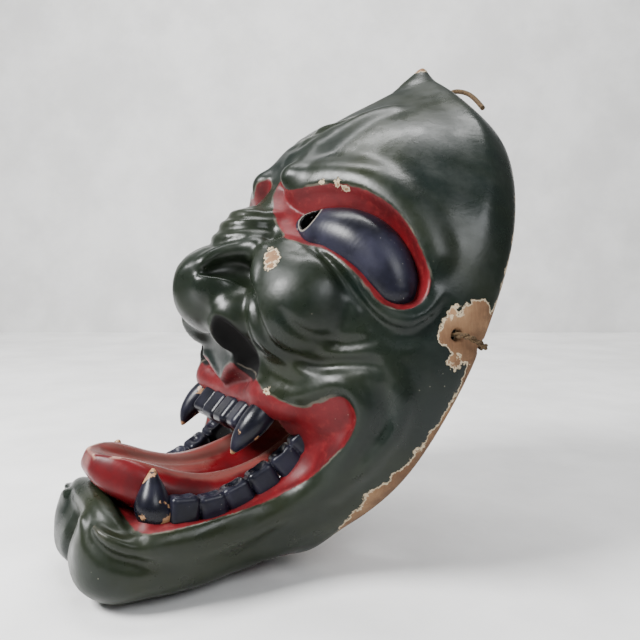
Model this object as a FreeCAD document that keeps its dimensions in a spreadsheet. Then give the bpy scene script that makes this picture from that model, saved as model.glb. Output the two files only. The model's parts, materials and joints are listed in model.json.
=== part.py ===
"""Carved wooden demon mask with inset eyes, teeth, fangs and tongue. Millimetres.

Every piece is first shaped in the mask's own upright frame: x to the wearer's left, y backwards from
the face to the flat rim at y = 0, z up from the chin. Each exported piece then leans back by the same
Placement, so that the mask stands on its two chin lobes and on the low edge of its rim.
"""
import FreeCAD, Part
import math
import os

from FreeCAD import Placement, Rotation, Vector

DRIVING_SIZES = [
    # alias, value, what it is
    ("lean_angle", 25, "degrees that the mask leans back from upright"),
    ("seat_back", -19.65, "shift along the floor that centres the leaning mask on its origin"),
    ("seat_up", -34.05, "lift that stands the leaning mask on the floor"),
    ("wall", 6.5, "thickness of the carved wall"),
    ("lobe_radius", 21, "radius of each chin lobe"),
    ("lobe_x", 22, "half the distance between the chin lobes"),
    ("lobe_y", -82, "depth of the chin lobes"),
    ("lobe_z", 22.5, "height of the chin lobes' centres"),
    ("pupil_x", 31, "half the distance between the pupil holes"),
    ("pupil_z", 178, "height of the pupil holes"),
    ("pupil_radius", 4, "radius of a pupil hole"),
    ("eye_x", 56, "eyeball's centre, sideways"),
    ("eye_y", -47, "eyeball's centre, depth"),
    ("eye_z", 168, "eyeball's centre, height"),
    ("eye_half_length", 30, "half the eyeball's length"),
    ("eye_half_height", 16, "half the eyeball's height and depth"),
    ("eye_turn", 30, "degrees that an eyeball turns back towards the temple"),
    ("eye_droop", 14, "degrees that an eyeball's outer end droops"),
    ("socket_margin", 8, "red band between the eyeball and the socket's edge"),
    ("nostril_radius", 6.5, "radius of a nostril"),
    ("tooth_half_width", 6.6, "half the width of a front tooth"),
    ("molar_half_width", 7.6, "half the width of a back tooth"),
    ("upper_fang_length", 25.5, "length of an upper fang below the gum"),
    ("lower_fang_length", 23, "length of a lower fang above the gum"),
    ("fang_radius", 7.5, "radius of a fang at the gum"),
    ("fang_tip_radius", 1.2, "radius of a fang's tip"),
    ("tenon_radius", 4, "radius of the tenon that holds a fang in the gum"),
    ("tenon_length", 10, "length of that tenon"),
    ("mouth_floor", 38, "height of the flat bed that the tongue lies on"),
    ("peg_radius", 2.5, "radius of a tongue peg"),
    ("peg_length", 14, "length of a tongue peg"),
    ("tie_z", 149, "height of the side ties"),
    ("tie_hole_y", -14.5, "depth of the side holes"),
    ("tie_hole_radius", 2.6, "radius of a side hole"),
    ("tie_radius", 1.3, "radius of the side ties' cord"),
    ("notch_depth", 4, "depth of the notch where a side tie crosses the rim"),
    ("cord_radius", 1.2, "radius of the crown cord"),
    ("knot_radius", 4, "radius of the crown cord's knot"),
]

# Half outlines as fractions of half width and of height, from the top to the bottom centre.
ONION = [(0, 1), (0.40, 0.905), (0.75, 0.795), (0.95, 0.65), (1, 0.49),
         (0.95, 0.33), (0.79, 0.18), (0.46, 0.066), (0, 0)]
ROUND = [(0, 1), (0.34, 0.965), (0.66, 0.86), (0.90, 0.69), (1, 0.50),
         (0.95, 0.31), (0.78, 0.14), (0.44, 0.03), (0, 0)]

# Sections of the face: depth in front of the rim, half width, top, bottom, share of ROUND in the outline.
FACE_SECTIONS = [
    (0, 96, 296, 37.6, 0),
    (17, 93, 297, 40, 0.05),
    (35, 83, 272, 62, 0.6),
    (50, 66, 250, 94, 1),
    (62, 47, 225, 106, 1),
    (71, 22, 202, 130, 1),
]
JAW_SECTIONS = [
    (0, 66, 116, 42, 1),
    (17, 61, 114, 36, 1),
    (35, 52, 104, 27, 1),
    (50, 49, 90, 20, 1),
    (66, 47, 72, 14, 1),
    (80, 41, 56, 9, 1),
    (93, 27, 45, 12, 1),
]
# The crown is closed by slightly more than the wall, and the hollow starts behind the rim.
CROWN_WALL_SHARE = 1.15
HOLLOW_START = -5
# Depths between which the mouth is cut through, behind and in front of the lips.
MOUTH_BACK, MOUTH_FRONT = 24, 124
# Mouth opening seen from the front: right half, from the notch of the upper lip round to the lower gum.
MOUTH_EDGE = [(0, 101), (12, 107), (32, 103), (52, 103), (66, 110), (72, 104), (64, 97), (51, 92), (44, 85),
              (40.5, 75), (39, 64), (37.5, 52), (34, 42), (26, 37.5), (0, 37.5)]
# Tongue: depth, half width, top of the middle, bottom.
TONGUE_SECTIONS = [(16, 20, 85, 74), (26, 23, 75, 60), (36, 25.5, 65, 47), (48, 27.5, 57, 41),
                   (62, 27.5, 53.5, 38), (78, 26, 52, 38), (90, 20, 52, 39), (101, 9, 51, 45)]
# The tongue's edge stands above its middle by the rise, at these shares of its half width.
TONGUE_RIM_RISE = 5
TONGUE_RIM_SHARE = 0.84
TONGUE_BED_SHARE = 0.8
# Centres of the back teeth, from beside the lower fang to the mouth's corner.
MOLAR_PATH = [(34.5, -68, 45.5), (35, -56.5, 49.5), (35.5, -48, 57.5),
              (36.5, -40, 67), (38, -33, 77.5), (40, -29, 88)]
MOLAR_HALF_DEPTH = 4.5
MOLAR_HALF_HEIGHT = 6
MOLAR_TILT = 10
FRONT_TOOTH_PATH = [(-18.7, -50.5, 93), (-6.3, -52, 93.5), (6.3, -52, 93.5), (18.7, -50.5, 93)]
FRONT_TOOTH_HALF_DEPTH = 3.5
FRONT_TOOTH_HALF_HEIGHT = 12
# Where a fang leaves the gum and where it points, on the wearer's left.
UPPER_FANG_LINE = ((31, -50, 98), (30, -55, 73))
LOWER_FANG_LINE = ((31.5, -76, 38), (26, -83.4, 58.5))
PEG_DEPTHS = (48, 74)
# Rounded forms on the face: half sizes along x, y and z, centre, and on a side form its turn about z.
NOSE_BRIDGE = (15, 22, 30, (0, -66, 158))
NOSE_TIP = (21, 22.5, 20, (0, -76, 137.5))
SIDE_FORMS = {
    "cheek": (26, 17.5, 25, (43, -56.5, 140), 32),
    "nostril_wing": (15.5, 18, 15.5, (18, -70, 128), 0),
    "brow": (36, 13, 12, (42, -50, 204), 28),
}
NOSTRIL_START = (24, -60, 109)
NOSTRIL_HEADING = (-0.05, -0.93, 0.36)
NOSTRIL_LENGTH = 30
# Where a pupil hole starts in front of the face and how far back it goes.
PUPIL_START, PUPIL_LENGTH = -90, 80
# The socket's centre lies this far outwards and forwards of the eyeball's.
SOCKET_OUT, SOCKET_FORWARD = 5, 10
# Route of the crown cord, from its knot inside the crown to its free end.
CORD_ROUTE = [(-1, -4, 280), (13, -4, 289.5), (26, -3, 286), (35, -2, 280), (43, -2, 272.5)]
CORD_BEND_SHARE = 0.45
# Corners of a side tie's loop, x and y: outside the hole, inside it, inside the rim and outside the rim.
TIE_LOOP = [(98, -14.5), (77.5, -14.5), (83.5, -2), (98, -2)]
TIE_BEND_REACH = 2.6
# A side hole starts inside the hollow; its notch in the rim starts inside the wall.
TIE_HOLE_START, TIE_HOLE_LENGTH = 70, 60
NOTCH_START, NOTCH_LENGTH, NOTCH_HEIGHT = 85, 40, 9
CORD_HOLE_LENGTH, CORD_HOLE_PLAY = 22, 0.5
# The knot's centre behind the cord's end, and its half depth and half height, as shares of its radius.
KNOT_SETBACK, KNOT_DEPTH_SHARE, KNOT_HEIGHT_SHARE = 0.8, 0.9, 0.95
EYE_HOLE_REACH = 32
FANG_ROOT_OVERLAP = 1

doc = FreeCAD.newDocument("carved_mask")
sheet = doc.addObject("Spreadsheet::Sheet", "sizes")
exported = []


def fill_sheet():
    for row, (alias, value, meaning) in enumerate(DRIVING_SIZES, start=1):
        sheet.set(f"A{row}", meaning)
        sheet.set(f"B{row}", str(value))
        sheet.setAlias(f"B{row}", alias)
    doc.recompute()


def size(alias):
    return float(getattr(sheet, alias))


def make(kind, name, **bound):
    """A new object whose properties are bound to expressions, in which sizes.ALIAS is a cell."""
    thing = doc.addObject(kind, name)
    for prop, expression in bound.items():
        thing.setExpression(prop, expression)
    return thing


def place(thing, x, y, z, rotation=None):
    """Puts thing at a point whose coordinates are numbers or expressions."""
    thing.Placement = Placement(Vector(0, 0, 0), rotation or Rotation())
    for letter, value in zip("xyz", (x, y, z)):
        thing.setExpression(f"Placement.Base.{letter}", str(value))
    return thing


def aimed(direction):
    """The rotation that turns +Z to a direction."""
    return Rotation(Vector(0, 0, 1), Vector(*direction))


def ellipsoid(name, across, deep, high, centre, rotation=None):
    """Ellipsoid with its half sizes along x, y and z, each a number or an expression."""
    ball = make("Part::Ellipsoid", name, Radius2=str(across), Radius3=str(deep), Radius1=str(high))
    ball.Angle1 = -90
    return place(ball, *centre, rotation)


def fuse(name, things):
    joined = doc.addObject("Part::MultiFuse", name)
    joined.Shapes = things
    joined.Refine = False
    return joined


def cut(name, base, tool):
    result = doc.addObject("Part::Cut", name)
    result.Base = base
    result.Tool = tool
    result.Refine = False
    return result


def carve(name, base, tools):
    """Takes each tool away from base in turn."""
    for index, tool in enumerate(tools):
        base = cut(f"{name}_{index}", base, tool)
    return base


def solid_from(name, shape):
    thing = doc.addObject("Part::Feature", name)
    thing.Shape = shape
    return thing


def lean():
    """The Placement that stands the upright mask on its chin lobes and rim."""
    shift = Vector(0, size("seat_back"), size("seat_up"))
    return Placement(shift, Rotation(Vector(1, 0, 0), -size("lean_angle")))


def export_as(label, thing):
    """Names a finished piece and leans it back."""
    thing.Label = label
    thing.Placement = lean()
    exported.append(thing)
    return thing


def section_wire(depth, half_width, top, bottom, roundness):
    """Closed outline in a plane of constant y: a left and a right spline that meet at top and bottom."""
    right = []
    for (onion_x, onion_z), (round_x, round_z) in zip(ONION, ROUND):
        x = half_width * (onion_x + roundness * (round_x - onion_x))
        z = bottom + (top - bottom) * (onion_z + roundness * (round_z - onion_z))
        right.append(Vector(x, -depth, z))
    left = [Vector(-point.x, point.y, point.z) for point in reversed(right)]
    edges = []
    for points in (right, left):
        spline = Part.BSplineCurve()
        spline.interpolate(points)
        edges.append(spline.toShape())
    return Part.Wire(edges)


def lofted(sections):
    return Part.makeLoft([section_wire(*section) for section in sections], True, False)


def inner_sections():
    """The face's sections moved in by one wall thickness, open at the back."""
    wall = size("wall")
    inner = []
    for depth, half_width, top, bottom, roundness in FACE_SECTIONS[:-1]:
        inner_top = top - CROWN_WALL_SHARE * wall
        inner.append((depth - wall, half_width - wall, inner_top, bottom + wall, roundness))
    return inner


def build_head_solid():
    """Everything outside: face, jaw, chin lobes, nose, cheeks and brows as one solid."""
    face = solid_from("face_dome", lofted(FACE_SECTIONS))
    jaw = solid_from("jaw_bowl", lofted(JAW_SECTIONS))
    pieces = [face, jaw]
    pieces.append(ellipsoid("nose_bridge", *NOSE_BRIDGE))
    pieces.append(ellipsoid("nose_tip", *NOSE_TIP))
    for side, word in ((1, "left"), (-1, "right")):
        lobe = ellipsoid(f"{word}_chin_lobe", "sizes.lobe_radius", "sizes.lobe_radius", "sizes.lobe_radius",
                         (f"{side} * sizes.lobe_x", "sizes.lobe_y", "sizes.lobe_z"))
        pieces.append(lobe)
        for form, (across, deep, high, (x, y, z), turn) in SIDE_FORMS.items():
            rotation = Rotation(Vector(0, 0, 1), side * turn)
            pieces.append(ellipsoid(f"{word}_{form}", across, deep, high, (side * x, y, z), rotation))
    return fuse("head_solid", pieces)


def build_openings():
    """Everything carved away but the eyes' room: hollow, mouth, nostrils and cord holes."""
    inner = inner_sections()
    inner[0] = (HOLLOW_START, inner[0][1], inner[0][2], inner[0][3], 0)
    hollow = solid_from("face_hollow", lofted([inner[0], (0,) + inner[0][1:]] + inner[1:]))
    edge = [Vector(x, 0, z) for x, z in MOUTH_EDGE]
    edge += [Vector(-x, 0, z) for x, z in reversed(MOUTH_EDGE[1:-1])]
    mouth_face = Part.Face(Part.makePolygon(edge + [edge[0]]))
    mouth_face.translate(Vector(0, -MOUTH_BACK, 0))
    mouth = solid_from("mouth_gap", mouth_face.extrude(Vector(0, MOUTH_BACK - MOUTH_FRONT, 0)))
    tools = [hollow, mouth]
    for side, word in ((1, "left"), (-1, "right")):
        nostril = make("Part::Cylinder", f"{word}_nostril", Radius="sizes.nostril_radius",
                       Height=str(NOSTRIL_LENGTH))
        place(nostril, *sided(NOSTRIL_START, side), aimed(sided(NOSTRIL_HEADING, side)))
        tie_hole = make("Part::Cylinder", f"{word}_tie_hole", Radius="sizes.tie_hole_radius",
                        Height=str(TIE_HOLE_LENGTH))
        place(tie_hole, side * TIE_HOLE_START, "sizes.tie_hole_y", "sizes.tie_z", aimed((side, 0, 0)))
        notch = make("Part::Box", f"{word}_tie_notch", Length=str(NOTCH_LENGTH),
                     Width="2 * sizes.notch_depth", Height=str(NOTCH_HEIGHT))
        corner_x = NOTCH_START if side > 0 else -NOTCH_START - NOTCH_LENGTH
        place(notch, corner_x, "-sizes.notch_depth", f"sizes.tie_z - {NOTCH_HEIGHT / 2}")
        tools += [nostril, tie_hole, notch]
    cord_hole = make("Part::Cylinder", "cord_hole", Radius=f"sizes.cord_radius + {CORD_HOLE_PLAY}",
                     Height=str(CORD_HOLE_LENGTH))
    start, mouth_of_hole = (Vector(*point) for point in CORD_ROUTE[:2])
    place(cord_hole, *start, aimed(mouth_of_hole - start))
    tools.append(cord_hole)
    return tools


def eye_rotation(side):
    droop = Rotation(Vector(0, 1, 0), side * size("eye_droop"))
    return Rotation(Vector(0, 0, 1), side * size("eye_turn")).multiply(droop)


def build_eye(side, word):
    """Eyeball with its pupil hole; returns the socket in front of it and the oval hole that it fits."""
    centre = (f"{side} * sizes.eye_x", "sizes.eye_y", "sizes.eye_z")
    turn = eye_rotation(side)
    ball = spun_eyeball(word, centre, turn)
    socket = ellipsoid(f"{word}_socket", "sizes.eye_half_length + sizes.socket_margin",
                       "sizes.eye_half_height", "sizes.eye_half_height + sizes.socket_margin",
                       (f"{side} * (sizes.eye_x + {SOCKET_OUT})", f"sizes.eye_y - {SOCKET_FORWARD}",
                        "sizes.eye_z"), turn)
    pupil = make("Part::Cylinder", f"{word}_pupil", Radius="sizes.pupil_radius", Height=str(PUPIL_LENGTH))
    place(pupil, f"{side} * sizes.pupil_x", PUPIL_START, "sizes.pupil_z", aimed((0, 1, 0)))
    export_as(f"{word}_eye", carve(f"{word}_eye_body", ball, [pupil]))
    return [socket, build_eye_hole(word, centre, turn), pupil]


def spun_eyeball(word, centre, turn):
    """Half an oval turned about its long axis, as a front half and a back half that are then joined."""
    origin, axis = Vector(0, 0, 0), Vector(1, 0, 0)
    long, short = size("eye_half_length"), size("eye_half_height")
    arc = Part.ArcOfEllipse(Part.Ellipse(origin, long, short), 0, math.pi)
    axis_line = Part.LineSegment(-axis * long, axis * long)
    profile = Part.Face(Part.Wire([arc.toShape(), axis_line.toShape()]))
    profile.rotate(origin, axis, 90)
    front, back = (profile.revolve(origin, axis, angle) for angle in (180, -180))
    ball = solid_from(f"{word}_eyeball", front.fuse(back))
    return place(ball, *centre, turn)


def build_eye_hole(word, centre, turn):
    """Oval hole through the face, in line with the eyeball's widest section."""
    oval = make("Part::Ellipse", f"{word}_eye_oval", MajorRadius="sizes.eye_half_length",
                MinorRadius="sizes.eye_half_height")
    place(oval, *centre, turn.multiply(Rotation(Vector(1, 0, 0), 90)))
    hole = doc.addObject("Part::Extrusion", f"{word}_eye_hole")
    hole.Base = oval
    hole.DirMode = "Normal"
    hole.LengthFwd = EYE_HOLE_REACH
    hole.LengthRev = EYE_HOLE_REACH
    hole.Solid = True
    return hole


def build_fang(name, base, tip, length):
    """Tapered fang with a round tenon behind its base."""
    direction = Vector(*tip) - Vector(*base)
    direction.normalize()
    cone = make("Part::Cone", f"{name}_cone", Radius1="sizes.fang_radius", Radius2="sizes.fang_tip_radius",
                Height=length)
    place(cone, *base, aimed(direction))
    tenon = make("Part::Cylinder", f"{name}_tenon", Radius="sizes.tenon_radius",
                 Height=f"sizes.tenon_length + {FANG_ROOT_OVERLAP}")
    root = Vector(*base) - direction * size("tenon_length")
    place(tenon, *root, aimed(direction))
    body = fuse(f"{name}_body", [cone, tenon])
    fang = doc.addObject("Part::Compound", f"{name}_piece")
    fang.Links = [body]
    export_as(name, fang)
    return body


def build_tooth_row(name, centres, half_width, half_depth, half_height, tilt):
    """Row of blocky teeth that run into each other, as one solid; tilt leans their crowns inwards."""
    teeth = []
    for index, centre in enumerate(centres):
        ahead = Vector(*centres[min(index + 1, len(centres) - 1)]) - Vector(*centres[max(index - 1, 0)])
        heading = math.degrees(math.atan2(ahead.y, ahead.x))
        rise = math.degrees(math.atan2(ahead.z, math.hypot(ahead.x, ahead.y)))
        turn = Rotation(Vector(0, 0, 1), heading).multiply(Rotation(Vector(0, 1, 0), -rise))
        turn = turn.multiply(Rotation(Vector(1, 0, 0), tilt))
        tooth = make("Part::Box", f"{name}_{index}", Length=f"2 * sizes.{half_width}")
        tooth.Width = 2 * half_depth
        tooth.Height = 2 * half_height
        corner = Vector(*centre) + turn.multVec(Vector(-size(half_width), -half_depth, -half_height))
        teeth.append(place(tooth, *corner, turn))
    row = fuse(f"{name}_body", teeth)
    piece = doc.addObject("Part::Compound", f"{name}_piece")
    piece.Links = [row]
    export_as(name, piece)
    return row


def tongue_wire(depth, half_width, top, bottom):
    """Flat-bottomed section of the tongue with a hollow top and rounded, raised edges."""
    middle = (top + bottom) / 2
    points = [(0, bottom), (TONGUE_BED_SHARE * half_width, bottom), (half_width, middle),
              (TONGUE_RIM_SHARE * half_width, top + TONGUE_RIM_RISE), (0, top)]
    right = [Vector(x, -depth, z) for x, z in points]
    left = [Vector(-x, -depth, z) for x, z in points[1:-1]]
    spline = Part.BSplineCurve()
    spline.interpolate(right + left[::-1], PeriodicFlag=True)
    return Part.Wire([spline.toShape()])


def build_tongue(rows):
    """Tongue on its bed, kept clear of the tooth rows, and the two pegs that hold it down."""
    shape = Part.makeLoft([tongue_wire(*section) for section in TONGUE_SECTIONS], True, False)
    tongue = solid_from("tongue_blank", shape)
    pegs = []
    for index, depth in enumerate(PEG_DEPTHS):
        peg = make("Part::Cylinder", f"tongue_peg_{index}", Radius="sizes.peg_radius",
                   Height="sizes.peg_length")
        pegs.append(place(peg, 0, -depth, "sizes.mouth_floor - sizes.peg_length / 2"))
    peg_pair = doc.addObject("Part::Compound", "tongue_peg_pair")
    peg_pair.Links = pegs
    export_as("tongue", carve("tongue_body", tongue, rows + pegs))
    export_as("tongue_pegs", peg_pair)
    return pegs, tongue


def build_side_tie(side, word):
    """Closed loop of cord through the side hole, along the wall and over the rim in its notch."""
    z = size("tie_z")
    path = rounded_loop([Vector(side * x, y, z) for x, y in TIE_LOOP], TIE_BEND_REACH)
    return tube(path, size("tie_radius"), f"{word}_tie_loop")


def tube(path, radius, name):
    """Round tube along a wire of straight runs and tangent arcs."""
    start = path.Edges[0].valueAt(path.Edges[0].FirstParameter)
    heading = path.Edges[0].tangentAt(path.Edges[0].FirstParameter)
    ring = Part.Wire([Part.Circle(start, heading, radius).toShape()])
    shape = path.makePipeShell([ring], True, True)
    return solid_from(name, shape)


def tangent_arc(before, corner, after, reach):
    """The arc that rounds a corner, from reach before it to reach after it, and its radius."""
    arriving = (corner - before).normalize()
    leaving = (after - corner).normalize()
    half_turn = arriving.getAngle(leaving) / 2
    radius = reach / math.tan(half_turn)
    enter, leave = corner - arriving * reach, corner + leaving * reach
    inward = (leaving - arriving).normalize()
    middle = corner + inward * (radius / math.cos(half_turn) - radius)
    return Part.Arc(enter, middle, leave).toShape(), enter, leave, radius


def rounded_loop(points, reach):
    """Closed path of straight runs with its corners rounded."""
    count = len(points)
    bends = [tangent_arc(points[i - 1], points[i], points[(i + 1) % count], reach) for i in range(count)]
    edges = []
    for index, (arc, _, leave, _) in enumerate(bends):
        edges.append(arc)
        edges.append(Part.LineSegment(leave, bends[(index + 1) % count][1]).toShape())
    return Part.Wire(edges)


def cord_path(route):
    """Straight runs joined by tangent arcs, each as large as its two runs allow."""
    points = [Vector(*point) for point in route]
    edges = []
    start = points[0]
    for before, corner, after in zip(points, points[1:], points[2:]):
        reach = CORD_BEND_SHARE * min((corner - before).Length, (after - corner).Length)
        arc, enter, leave, radius = tangent_arc(before, corner, after, reach)
        edges.append(Part.LineSegment(start, enter).toShape())
        edges.append(arc)
        start = leave
        print(f"crown cord arc radius {radius:.1f} mm")
    edges.append(Part.LineSegment(start, points[-1]).toShape())
    return Part.Wire(edges)


def build_crown_cord():
    """Stiff cord tail that leaves through the crown, and the knot that stops it inside."""
    path = cord_path(CORD_ROUTE)
    cord = tube(path, size("cord_radius"), "crown_cord_tube")
    expected = path.Length * math.pi * size("cord_radius") ** 2
    print(f"crown cord length {path.Length:.1f} mm, volume {cord.Shape.Volume:.1f} of {expected:.1f} mm3")
    start, second = (Vector(*point) for point in CORD_ROUTE[:2])
    back = (start - second).normalize()
    centre = start + back * (size("knot_radius") * KNOT_SETBACK)
    knot_ball = ellipsoid("knot_ball", "sizes.knot_radius", f"{KNOT_DEPTH_SHARE} * sizes.knot_radius",
                          f"{KNOT_HEIGHT_SHARE} * sizes.knot_radius", centre)
    export_as("crown_cord", cord)
    export_as("crown_cord_knot", carve("knot_body", knot_ball, [cord_copy(cord)]))


def cord_copy(cord):
    """The cord's solid in the upright frame, as a tool for the knot."""
    upright = cord.Shape.copy()
    upright.Placement = Placement()
    return solid_from("cord_tool", upright)


def sided(point, side):
    """A point of the wearer's left side, or its mirror image when side is -1."""
    x, y, z = point
    return (side * x, y, z)


def check_document():
    """Stops on any failed object or on a piece whose shape is null or invalid."""
    doc.recompute()
    for thing in doc.Objects:
        if "Invalid" in thing.State or "Error" in thing.State:
            raise RuntimeError(f"{thing.Name} failed: {thing.State}")
    for piece in exported:
        shape = piece.Shape
        if shape.isNull() or not shape.isValid():
            raise RuntimeError(f"{piece.Label} has no valid shape")
        print(f"{piece.Label}: {len(shape.Solids)} solids, {shape.Volume / 1000:.2f} cm3")


def report_balance():
    """Prints the leaning mask's box and its centre of mass, all pieces taken as wood."""
    box = FreeCAD.BoundBox()
    moment, volume = Vector(0, 0, 0), 0
    for piece in exported:
        box.add(piece.Shape.optimalBoundingBox(False, False))
        for solid in piece.Shape.Solids:
            moment += solid.CenterOfMass * solid.Volume
            volume += solid.Volume
    centre = moment / volume
    print(f"box x {box.XMin:.2f} {box.XMax:.2f}")
    print(f"box y {box.YMin:.2f} {box.YMax:.2f}")
    print(f"box z {box.ZMin:.2f} {box.ZMax:.2f}")
    print(f"centre of mass {centre.x:.1f} {centre.y:.1f} {centre.z:.1f}")


def main():
    fill_sheet()
    carvings = build_openings()
    pockets = []
    for side, word in ((1, "left"), (-1, "right")):
        carvings += build_eye(side, word)
        upper_line = [sided(point, side) for point in UPPER_FANG_LINE]
        lower_line = [sided(point, side) for point in LOWER_FANG_LINE]
        upper = build_fang(f"upper_{word}_fang", *upper_line, "sizes.upper_fang_length")
        lower = build_fang(f"lower_{word}_fang", *lower_line, "sizes.lower_fang_length")
        path = [sided(point, side) for point in MOLAR_PATH]
        row = build_tooth_row(f"lower_{word}_tooth_row", path, "molar_half_width", MOLAR_HALF_DEPTH,
                              MOLAR_HALF_HEIGHT, side * MOLAR_TILT)
        pockets += [upper, lower, row]
    pockets.append(build_tooth_row("upper_tooth_row", FRONT_TOOTH_PATH, "tooth_half_width",
                                   FRONT_TOOTH_HALF_DEPTH, FRONT_TOOTH_HALF_HEIGHT, 0))
    pegs, tongue = build_tongue([pocket for pocket in pockets if "lower" in pocket.Name])
    head = build_head_solid()
    export_as("face_shell", carve("shell_cut", head, carvings + pockets + pegs + [tongue]))
    for side, word in ((1, "left"), (-1, "right")):
        export_as(f"{word}_side_tie", build_side_tie(side, word))
    build_crown_cord()
    check_document()
    report_balance()
    os.makedirs("parts", exist_ok=True)
    for piece in exported:
        piece.Shape.exportStep(f"parts/{piece.Label}.step")


main()
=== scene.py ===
import json
import math

import bpy
import numpy as np
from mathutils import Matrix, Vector


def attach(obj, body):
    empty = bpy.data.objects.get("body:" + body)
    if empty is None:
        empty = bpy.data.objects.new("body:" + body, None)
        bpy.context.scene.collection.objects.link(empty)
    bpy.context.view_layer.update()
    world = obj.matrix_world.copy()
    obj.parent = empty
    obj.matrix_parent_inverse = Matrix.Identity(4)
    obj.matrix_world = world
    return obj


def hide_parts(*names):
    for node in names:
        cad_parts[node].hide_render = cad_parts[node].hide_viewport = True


# ---- Sizes: millimetres in the mask's own frame, metres in the row frame ----
MM = 0.001
FAR = 1e3
EVERYWHERE = ...       # a window as big as the grid
TINY = 1e-9
HEAD_STEP = 1.2        # grid of the head's clay
SMALL_STEP = 0.55      # grid of the teeth's clay
MOST_TRIANGLES = 190000
SIDES = ((1, "left"), (-1, "right"))
CORD_DIAMETER = 2.4
CORD_ROUTE = [(-1, -4, 280), (13, -4, 289.5), (26, -3, 286), (35, -2, 280), (43, -2, 272.5)]

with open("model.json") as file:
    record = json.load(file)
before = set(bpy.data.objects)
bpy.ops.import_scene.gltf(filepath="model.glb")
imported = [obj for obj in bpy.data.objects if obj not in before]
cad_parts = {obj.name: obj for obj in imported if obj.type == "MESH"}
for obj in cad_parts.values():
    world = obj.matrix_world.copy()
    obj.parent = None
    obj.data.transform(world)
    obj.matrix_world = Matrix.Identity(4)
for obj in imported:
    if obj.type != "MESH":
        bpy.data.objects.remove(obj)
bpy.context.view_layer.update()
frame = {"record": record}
rim_face = next(m for m in frame["record"]["mounts"] if m["name"] == "rim_rest_face")
RIM_FACE_HEIGHT = 41.3  # of the mount above the mask frame's origin
LEAN = math.atan2(-rim_face["axis"][2], rim_face["axis"][1])
LEANING = np.array([[1, 0, 0], [0, math.cos(LEAN), math.sin(LEAN)], [0, -math.sin(LEAN), math.cos(LEAN)]])
SEAT = np.array(rim_face["pos_m"]) - LEANING @ np.array([0, 0, RIM_FACE_HEIGHT * MM])


def to_row(points):
    """Points of the mask's own frame, in mm, as row frame metres."""
    return np.asarray(points, float) * MM @ LEANING.T + SEAT


# ---- View, floor and light ----
CAMERA_PLACE = (0.2712, -0.1468, 0.1312)
CAMERA_HEADING = 57.7  # degrees round from the mask's front
CAMERA_DIP = 4.2
CAMERA_LENS, FILM_WIDTH = 35.4, 36
PALE = (0.86, 0.855, 0.845)
WALL_DISTANCE = 1.1
WALL_HEIGHT = 0.8


def put(name, data):
    """A new object in the scene."""
    thing = bpy.data.objects.new(name, data)
    bpy.context.collection.objects.link(thing)
    return thing


def add_camera():
    data = bpy.data.cameras.new("camera")
    data.lens = CAMERA_LENS
    data.sensor_width = FILM_WIDTH
    data.clip_start = 0.01
    camera = put("camera", data)
    camera.location = CAMERA_PLACE
    camera.rotation_euler = (math.radians(90 - CAMERA_DIP), 0, math.radians(CAMERA_HEADING))
    bpy.context.scene.camera = camera


def plaster_look():
    look = Look("plaster", roughness=0.85)
    stains = look.noise(9, 5, 0.6)
    look.set("Base Color", look.mix(look.band(stains, 0.3, 0.7), PALE, (0.73, 0.725, 0.715)))
    look.bump(look.noise(160, 6, 0.7), 0.25, 0.0006)
    return look


def add_stage(name, corners, look):
    """One flat pale sheet of the surroundings."""
    mesh = bpy.data.meshes.new(name)
    mesh.from_pydata(corners, [], [(0, 1, 2, 3)])
    mesh.materials.append(look.material)
    put(name, mesh)


def add_surroundings():
    """Pale ground, and a pale wall well behind the mask."""
    look = plaster_look()
    reach = 6.0
    add_stage("floor", [(-reach, -reach, 0), (reach, -reach, 0), (reach, reach, 0), (-reach, reach, 0)], look)
    heading = math.radians(CAMERA_HEADING)
    away = Vector((-math.sin(heading), math.cos(heading), 0)) * WALL_DISTANCE
    across = Vector((math.cos(heading), math.sin(heading), 0)) * reach
    up = Vector((0, 0, WALL_HEIGHT))
    add_stage("wall", [away - across, away + across, away + across + up, away - across + up], look)


def add_light(name, place, aim, width, power, colour=(1, 1, 1)):
    data = bpy.data.lights.new(name, "AREA")
    data.shape = "RECTANGLE"
    data.size, data.size_y = width
    data.energy = power
    data.color = colour
    lamp = put(name, data)
    lamp.location = place
    lamp.rotation_euler = (Vector(aim) - Vector(place)).to_track_quat("-Z", "Y").to_euler()


def light_the_stage():
    """Pale sky, a soft key in front, a wash over the wall and a weak panel at the side."""
    world = bpy.data.worlds.new("surroundings")
    world.use_nodes = True
    sky = world.node_tree.nodes["Background"].inputs
    sky["Color"].default_value = (0.86, 0.88, 0.9, 1)
    sky["Strength"].default_value = 0.3
    bpy.context.scene.world = world
    middle = (0, 0, 0.12)
    add_light("key", (-0.1, -0.72, 0.78), middle, (0.42, 0.3), 27)
    add_light("wash", (-0.45, 0.28, 1.9), (-0.93, 0.59, 0.5), (1.4, 0.4), 36)
    add_light("side", (0.75, 0.05, 0.65), middle, (0.4, 0.4), 5, (0.95, 0.97, 1))


# ---- Looks: procedural materials ----
SPECULAR = 0.24


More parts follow.
